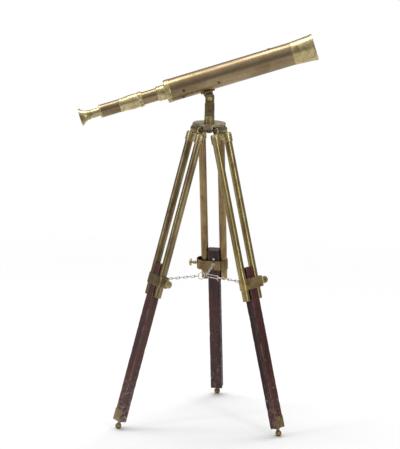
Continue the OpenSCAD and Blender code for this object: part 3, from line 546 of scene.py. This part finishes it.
RING_R, RING_BACK, RING_BORE = BARREL_R + RING_OVER, EYE_END - RING_W, DRAW_R + 1.45
SLEEVE_R, SLEEVE_END = BARREL_R - 2.8, EYE_END + 25
lathe("end_ring", [
    (RING_BORE, RING_BACK), (BARREL_R - 0.6, RING_BACK, 0.8), (RING_R, RING_BACK + 1, 0.6),
    (RING_R, EYE_END - 3.4, 0.2), (BARREL_R + 0.1, EYE_END - 3.1, 0.2), (RING_R, EYE_END - 2.8, 0.2),
    (RING_R, EYE_END - 1, 0.4), (BARREL_R, EYE_END, 0.2), (BORE_R, EYE_END), (BORE_R, SLEEVE_END),
    (SLEEVE_R, SLEEVE_END), (SLEEVE_R, EYE_END + 1), (RING_BORE, EYE_END + 1),
], "barrel", "barrel_end_ring", around=128)

RUNNING_FIT = 0.05
GUIDE_BORE, GUIDE_R = DRAW_R + RUNNING_FIT, DRAW_R + 2.05
GUIDE_WAIST, GUIDE_SEAT, SEAT_END = GUIDE_R - 0.5, GUIDE_R - 0.6, EYE_END + 13
lathe("guide_collar", [
    (GUIDE_BORE, GUIDE_END), (GUIDE_R - 0.8, GUIDE_END, 0.4), (GUIDE_R, GUIDE_END + 0.8, 0.5),
    (GUIDE_R, GUIDE_END + 4, 0.3), (GUIDE_WAIST, GUIDE_END + 4.6, 0.3), (GUIDE_WAIST, GUIDE_END + 6, 0.3),
    (GUIDE_R, GUIDE_END + 6.6, 0.3), (GUIDE_R, RING_BACK - 1.2, 0.2), (GUIDE_R - 0.25, RING_BACK - 0.6, 0.2),
    (GUIDE_R, RING_BACK), (GUIDE_SEAT, RING_BACK), (GUIDE_SEAT, SEAT_END), (GUIDE_BORE, SEAT_END),
], "barrel", "draw_guide")

DRAW_BORE, DRAW_BACK, DRAW_FRONT = DRAW_R - WALL, COUPLING_FRONT - 10, -4.0
lathe("focusing_tube", [
    (DRAW_BORE, DRAW_BACK), (DRAW_R, DRAW_BACK), (DRAW_R, DRAW_FRONT), (DRAW_BORE, DRAW_FRONT),
], "draw", "draw_tube", radius=0.1)

BEAD_R, BEAD_FLOOR, BEAD_STEPS = 1.4, COUPLING_R - 0.6, 14
BEAD_W = BEAD_END - COUPLING_FRONT
FINE_CORNER = 0.05


def bead(middle, centre):
    """Points over the top of a round bead, in order of rising height."""
    out = []
    for k in range(BEAD_STEPS + 1):
        a = math.pi * k / BEAD_STEPS
        r = max(BEAD_FLOOR, middle + BEAD_R * math.sin(a))
        out.append((r, centre - BEAD_R * math.cos(a), FINE_CORNER))
    return out


lathe("beaded_ring", [(DRAW_R, COUPLING_FRONT), (BEAD_FLOOR, COUPLING_FRONT)]
      + bead(COUPLING_R - 0.4, COUPLING_FRONT + BEAD_W * 0.3)
      + bead(COUPLING_R - 0.7, COUPLING_FRONT + BEAD_W * 0.72)
      + [(BEAD_FLOOR, BEAD_END, 0.5), (DRAW_R, BEAD_END)], "draw", "coupling_bead")

# The coupling swells and falls away again, as the first 150 degrees of a sine
SWELL, SWELL_FROM, SWELL_LEN = COUPLING_R - HOLDER_R, HOLDER_FRONT + 6, 26
SWELL_DEGREES, SWELL_STEPS = 150, 24
SPIGOT_R, SPIGOT_END = HOLDER_R - 1.1, HOLDER_FRONT + 12
swelling = [
    (HOLDER_R + 0.1 + SWELL * math.sin(math.radians(k * SWELL_DEGREES / SWELL_STEPS)),
     SWELL_FROM + SWELL_LEN * k / SWELL_STEPS, FINE_CORNER)
    for k in range(SWELL_STEPS + 1)
]
lathe("swelled_coupling", [
    (SPIGOT_R, HOLDER_FRONT), (HOLDER_R + 0.1, HOLDER_FRONT, 0.1), (HOLDER_R + 0.5, HOLDER_FRONT + 0.6, 0.4),
    (HOLDER_R + 0.5, HOLDER_FRONT + 4.4, 0.4), (HOLDER_R - 0.1, HOLDER_FRONT + 5, 0.2),
] + swelling + [
    (DRAW_R, COUPLING_FRONT), (DRAW_R, DRAW_BACK), (DRAW_BORE, DRAW_BACK),
    (DRAW_BORE, SPIGOT_END), (SPIGOT_R, SPIGOT_END),
], "draw", "draw_coupling")

HOLDER_BORE, SPIGOT_BORE, SPIGOT_BACK = HOLDER_R - WALL, SPIGOT_R - 1, HOLDER_FRONT - 2
lathe("eye_tube_shell", [
    (HOLDER_BORE, HOLDER_END), (HOLDER_R, HOLDER_END), (HOLDER_R, HOLDER_FRONT), (SPIGOT_R, HOLDER_FRONT),
    (SPIGOT_R, SPIGOT_END), (SPIGOT_BORE, SPIGOT_END), (SPIGOT_BORE, SPIGOT_BACK), (HOLDER_BORE, SPIGOT_BACK),
], "draw", "eye_tube", radius=0.1)

LIP_BORE, LIP_R, LIP_SLEEVE = EYEPIECE_R + RUNNING_FIT, HOLDER_R + 0.2, HOLDER_END + 12
lathe("eye_tube_end", [
    (LIP_BORE, LIP_END, 0.2), (HOLDER_R - 0.5, LIP_END, 0.7), (LIP_R, LIP_END + 0.7, 0.6),
    (LIP_R, HOLDER_END, 0.3), (HOLDER_BORE, HOLDER_END), (HOLDER_BORE, LIP_SLEEVE), (LIP_BORE, LIP_SLEEVE),
], "draw", "eye_tube_lip")

EYEPIECE_BORE, EYEPIECE_FRONT = EYEPIECE_R - 1, LIP_END + 30
lathe("eyepiece_shell", [
    (EYEPIECE_BORE, CUP_NECK), (EYEPIECE_R, CUP_NECK), (EYEPIECE_R, EYEPIECE_FRONT),
    (EYEPIECE_BORE, EYEPIECE_FRONT),
], "eyepiece", "eyepiece_tube", radius=0.1)

THROAT_R, FLARE_TOP, FLARE_LEN, CUP_WALL = EYEPIECE_R + 0.4, CUP_NECK - 3.5, 11.1, 1.6
CUP_COLLAR_R, CUP_WAIST_R, EYE_HOLE_R, CUP_FRONT = EYEPIECE_R + 1, EYEPIECE_R + 0.7, 3.5, CUP_NECK + 4
FLARE_STEPS, CUP_FLOOR_STEP = 20, 8
flare = [
    (THROAT_R + (CUP_R - THROAT_R) * (0.4 * t + 0.6 * t * t), FLARE_TOP - FLARE_LEN * t)
    for t in (k / FLARE_STEPS for k in range(FLARE_STEPS + 1))
]
outside = [(r, z, FINE_CORNER) for r, z in flare]
inside = [(r - CUP_WALL, z, FINE_CORNER) for r, z in reversed(flare[CUP_FLOOR_STEP:])]
lathe("eyecup_shell", [
    (EYE_HOLE_R, CUP_FRONT), (EYEPIECE_BORE, CUP_FRONT), (EYEPIECE_BORE, CUP_NECK),
    (CUP_COLLAR_R, CUP_NECK, 0.4), (CUP_COLLAR_R, CUP_NECK - 1.2, 0.2), (CUP_WAIST_R, CUP_NECK - 1.6, 0.2),
    (CUP_COLLAR_R, CUP_NECK - 2, 0.2), (CUP_COLLAR_R, FLARE_TOP, 0.4),
] + outside + [
    (CUP_R, CUP_END + 0.4, 0.3), (CUP_R - 0.4, CUP_END, 0.3), (CUP_R - CUP_WALL, CUP_END, 0.3),
] + inside + [(EYE_HOLE_R, inside[-1][1], 0.3)], "eyepiece", "eyecup", step=3)

# The head, the post and the small screws and nuts
softened("head_casting", "tripod_head", "head", 0.45, 5, 0.35, fineness=420)
softened("post_turning", "post", "post", 0.4, 4, 0.18, fineness=500)
softened("barrel_lug", "mount_lug", "barrel", 0.35, 4, 0.15)
softened("post_collar_turning", "post_collar", "head", 0.3, 3, 0.12)
SCREW_VOXEL, SCREW_ROUNDS, SCREW_PIT = 0.22, 2, 0.05
for name, node, body, finish in (
    ("pivot_screws", "hinge_screws", "head", OLD_SCREW), ("pivot_cap_nuts", "hinge_nuts", "head", None),
    ("tilt_screw_slotted", "tilt_screw", "post", None), ("tilt_nut_six_sided", "tilt_nut", "post", None),
    ("spindle_nut", "post_nut", "post", None), ("barrel_side_screws", "barrel_screws", "barrel", OLD_SCREW),
):
    softened(name, node, body, SCREW_VOXEL, SCREW_ROUNDS, SCREW_PIT, finish)

# The wooden legs: the groove's room round its tube, and the rounded long edges
GROOVE_ROOM, CORNER, CORNER_R = 0.3, 1, 1.2
HALF_ARC_STEPS, SIDE_STEPS, LENGTH_STEPS = 6, 8, 90
# How far in from an end its rounding goes, with the section's share of its full size there
ENDS = ((0.0, 0.93), (0.3, 0.97), (0.9, 1.0))
# Depths of waves, dents and chips, and their noise scales; chips start where the edges do
WAVE, WAVE_SCALE, DENT, DENT_SCALE = 0.10, 90, 0.05, 320
CHIP, CHIP_SCALE, CHIP_ABOVE, EDGE_FROM = 1.6, 130, 0.1, 1.55


def wood_mesh(place):
    """The wooden leg: its grooved section carried along the leg, with worn edges and rounded ends."""
    half_d, half_w, groove = WOOD_DEPTH / 2, WOOD_W / 2, TUBE_R + GROOVE_ROOM
    bite = half_w - (PAIR_HALF - groove)
    reach = math.sqrt(groove ** 2 - (groove - bite) ** 2)
    flat_d, flat_w = half_d - CORNER, half_w - CORNER
    section = []
    for side in (1, -1):
        arc = []
        for k in range(2 * HALF_ARC_STEPS + 1):
            a = math.asin(reach / groove) * (1 - k / HALF_ARC_STEPS)
            arc.append((side * groove * math.sin(a), side * (PAIR_HALF - groove * math.cos(a))))
        start, end = (side * flat_d, -side * half_w), (side * flat_d, side * half_w)
        near, far = (side * half_d, -side * flat_w), (side * half_d, side * flat_w)
        section += [start] + arc_corner(start, near, far, CORNER_R)
        section += [(side * half_d, side * flat_w * (2 * k / SIDE_STEPS - 1)) for k in range(1, SIDE_STEPS)]
        section += arc_corner(near, far, end, CORNER_R) + [end] + arc
    verts, faces, count = [], [], len(section)
    low, high, full = -WOOD_END, -WOOD_END + WOOD_LEN, ENDS[-1][0]
    levels = [(low + inset, grow) for inset, grow in ENDS]
    levels += [
        (low + full + (WOOD_LEN - 2 * full) * k / LENGTH_STEPS, 1.0) for k in range(1, LENGTH_STEPS + 1)
    ]
    levels += [(high - inset, grow) for inset, grow in ENDS[1::-1]]
    for z, grow in levels:
        for x, y in section:
            point = place @ Vector((x, y, z))
            wear = noise.noise(point * WAVE_SCALE) * WAVE + noise.noise(point * DENT_SCALE) * DENT
            edge = max(0.0, abs(x) / half_d + abs(y) / half_w - EDGE_FROM)
            chip = edge * max(0.0, noise.noise(point * CHIP_SCALE) - CHIP_ABOVE) * CHIP
            pull = 1 - (abs(wear) + chip) / half_d
            verts.append(place @ Vector((x * grow * pull, y * grow * pull, z)))
    for j in range(len(levels) - 1):
        for i in range(count):
            k = (i + 1) % count
            faces.append((j * count + i, j * count + k, (j + 1) * count + k, (j + 1) * count + i))
    faces.append(tuple(reversed(range(count))))
    faces.append(tuple((len(levels) - 1) * count + i for i in range(count)))
    return verts, faces


# A leg's tube: its ends and bore, and the seam turned into it below the strap
TUBE_TOP, TUBE_BORE, SEAM_LOW, SEAM_R = -9, TUBE_R - 1, -273.5, TUBE_R - 0.35
LEG_TUBE = [
    (TUBE_BORE, -TUBE_END), (TUBE_R, -TUBE_END, 0.3), (TUBE_R, SEAM_LOW, 0.1), (SEAM_R, SEAM_LOW + 0.2, 0.1),
    (SEAM_R, SEAM_LOW + 0.6, 0.1), (TUBE_R, SEAM_LOW + 0.8, 0.1), (TUBE_R, TUBE_TOP), (TUBE_BORE, TUBE_TOP),
]
# A leg's other pieces: name, node, body, remesh grain, rounds of smoothing and depth of pitting
UPPER_PARTS = (
    ("tube_sockets", "sockets", "upper", 0.4, 4, 0.1), ("strap", "clamp", "upper", 0.36, 3, 0.06),
    ("link_eye", "chain_eye", "upper", 0.2, 2, 0.0),
    ("knurled_screw", "thumbscrew", "thumbscrew", 0.24, 2, 0.05),
)
LOWER_PARTS = (
    ("shoe", "shoe_plate", "lower", 0.24, 3, 0.08), ("stop", "stop_screw", "lower", 0.18, 2, 0.0),
    ("ball_foot", "foot", "lower", 0.24, 3, 0.1), ("spreader_chain", "chain", "chain", 0.2, 1, 0.0),
)
WOOD_SHARP = 28


def leg_tube(leg, side):
    return turned_mesh(
        LEG_TUBE, LEG[leg] @ Matrix.Translation((0, side * PAIR_HALF, 0)), radius=0.2, around=64, step=5)


def leg_parts(leg, parts):
    own = {"clamp": STRAPS[leg], "shoe_plate": WORN, "foot": WORN}
    for name, node, body, voxel, rounds, pit in parts:
        softened(f"{leg}_{name}", f"{leg}_{node}", f"{leg}_{body}", voxel, rounds, pit, own.get(node))


for leg, place in LEG.items():
    tubes = joined([leg_tube(leg, 1), leg_tube(leg, -1)])
    new_piece(leg + "_leg_tubes", *tubes, leg + "_upper", skin_of(leg + "_tubes"), leg + "_tubes")
    leg_parts(leg, UPPER_PARTS)
    new_piece(leg + "_wood", *wood_mesh(place), leg + "_lower", WOODS[leg], leg + "_wood_leg", WOOD_SHARP)
    leg_parts(leg, LOWER_PARTS)

# Stage: a pale round floor that fades out around the stand
FLOOR_R, FLOOR_STEPS, FLOOR_ROUGH = 1.6, 96, 0.8
floor_mesh = bpy.data.meshes.new("floor")
rim = [
    (FLOOR_R * math.cos(2 * math.pi * k / FLOOR_STEPS), FLOOR_R * math.sin(2 * math.pi * k / FLOOR_STEPS), 0)
    for k in range(FLOOR_STEPS)
]
floor_mesh.from_pydata(rim, [], [tuple(range(FLOOR_STEPS))])
floor = bpy.data.objects.new("floor", floor_mesh)
bpy.context.collection.objects.link(floor)
pale = Nodes("pale_floor")
reach = pale.new("ShaderNodeVectorMath", operation="LENGTH")
pale.link(pale.coords(), reach.inputs[0])
out_from_middle = pale.math("DIVIDE", reach.outputs["Value"], FLOOR_R)
pale.paint(Base_Color=pale.ramp(pale.noise(pale.coords(), 3, 2), [(0.3, 0.84), (0.7, 0.86)]),
           Alpha=pale.ramp(out_from_middle, [(0.16, 1.0), (0.55, 0.45), (0.95, 0.0)]),
           Roughness=FLOOR_ROUGH)
floor_mesh.materials.append(pale.mat)

# The surround: white to the camera, and to everything else a room that is darkest around eye level
ROOM_GREYS = ((0.0, 0.4), (0.40, 0.38), (0.52, 0.28), (0.68, 0.30), (0.84, 0.62), (1.0, 0.9))
world = bpy.data.worlds.new("studio")
world.use_nodes = True
bpy.context.scene.world = world
sky = world.node_tree
back = sky.nodes["Background"]
path = sky.nodes.new("ShaderNodeLightPath")
facing = sky.nodes.new("ShaderNodeTexCoord")
height = sky.nodes.new("ShaderNodeSeparateXYZ")
tone = sky.nodes.new("ShaderNodeValToRGB")
span = sky.nodes.new("ShaderNodeMapRange")
span.inputs["From Min"].default_value = -1.0
sky.links.new(facing.outputs["Generated"], height.inputs[0])
sky.links.new(height.outputs[2], span.inputs["Value"])
sky.links.new(span.outputs[0], tone.inputs[0])
for place, grey in ROOM_GREYS:
    stop = tone.color_ramp.elements.new(place) if 0 < place < 1 else tone.color_ramp.elements[int(place)]
    stop.color = (grey, grey, grey, 1)
seen = sky.nodes.new("ShaderNodeMix")
seen.data_type = "RGBA"
sky.links.new(path.outputs["Is Camera Ray"], seen.inputs[0])
sky.links.new(tone.outputs[0], seen.inputs[MIX_A])
seen.inputs[MIX_B].default_value = (1, 1, 1, 1)
sky.links.new(seen.outputs[2], back.inputs[0])

MIDDLE = Vector((0, 0, 0.33))


def soft_light(name, place, width, height, power):
    """A rectangular lamp aimed at the middle of the stand, in metres and watts."""
    data = bpy.data.lights.new(name, "AREA")
    data.shape = "RECTANGLE"
    data.size, data.size_y = width, height
    data.energy = power
    lamp = bpy.data.objects.new(name, data)
    lamp.location = place
    lamp.rotation_euler = (MIDDLE - Vector(place)).to_track_quat("-Z", "Y").to_euler()
    bpy.context.collection.objects.link(lamp)


soft_light("top", (-0.2, 0.5, 2.2), 2.6, 0.7, 34)
soft_light("left", (-2.1, -1.2, 1.3), 0.35, 1.6, 9)
soft_light("right", (1.4, -2.3, 1.2), 0.4, 1.8, 14)

# Camera, from the photograph: where the leg pivots' height on the stand's axis falls in the picture
DISTANCE, LOOK_DOWN, ROLL = 4.259, 9.5, 1.21
FOCAL_PX, WIDTH_PX, HEIGHT_PX = 2578.5, 400, 449
AIM_PX = (209.18, 128.37)
SENSOR, CLIP_END = 36.0, 100
look = math.radians(LOOK_DOWN)
forward = Vector((0, math.cos(look), -math.sin(look)))
level_up = Vector((0, math.sin(look), math.cos(look)))
roll = math.radians(ROLL)
right = math.cos(roll) * Vector((1, 0, 0)) + math.sin(roll) * level_up
up = right.cross(forward)
hinge_middle = Vector((pivot.x, pivot.y, hinge_z))
eye = hinge_middle - forward * (DISTANCE / math.cos(look))
aside, above = WIDTH_PX / 2 - AIM_PX[0], HEIGHT_PX / 2 - AIM_PX[1]
forward = (forward + right * aside / FOCAL_PX - up * above / FOCAL_PX).normalized()
right = (right - forward * right.dot(forward)).normalized()
up = right.cross(forward)
camera_data = bpy.data.cameras.new("camera")
camera_data.sensor_fit = "HORIZONTAL"
camera_data.sensor_width = SENSOR
camera_data.lens = FOCAL_PX / WIDTH_PX * SENSOR
camera_data.clip_end = CLIP_END
camera = bpy.data.objects.new("camera", camera_data)
camera.matrix_world = Matrix((
    (right.x, up.x, -forward.x, eye.x), (right.y, up.y, -forward.y, eye.y),
    (right.z, up.z, -forward.z, eye.z), (0, 0, 0, 1),
))
bpy.context.collection.objects.link(camera)
bpy.context.scene.camera = camera
bpy.context.scene.view_settings.view_transform = "Standard"
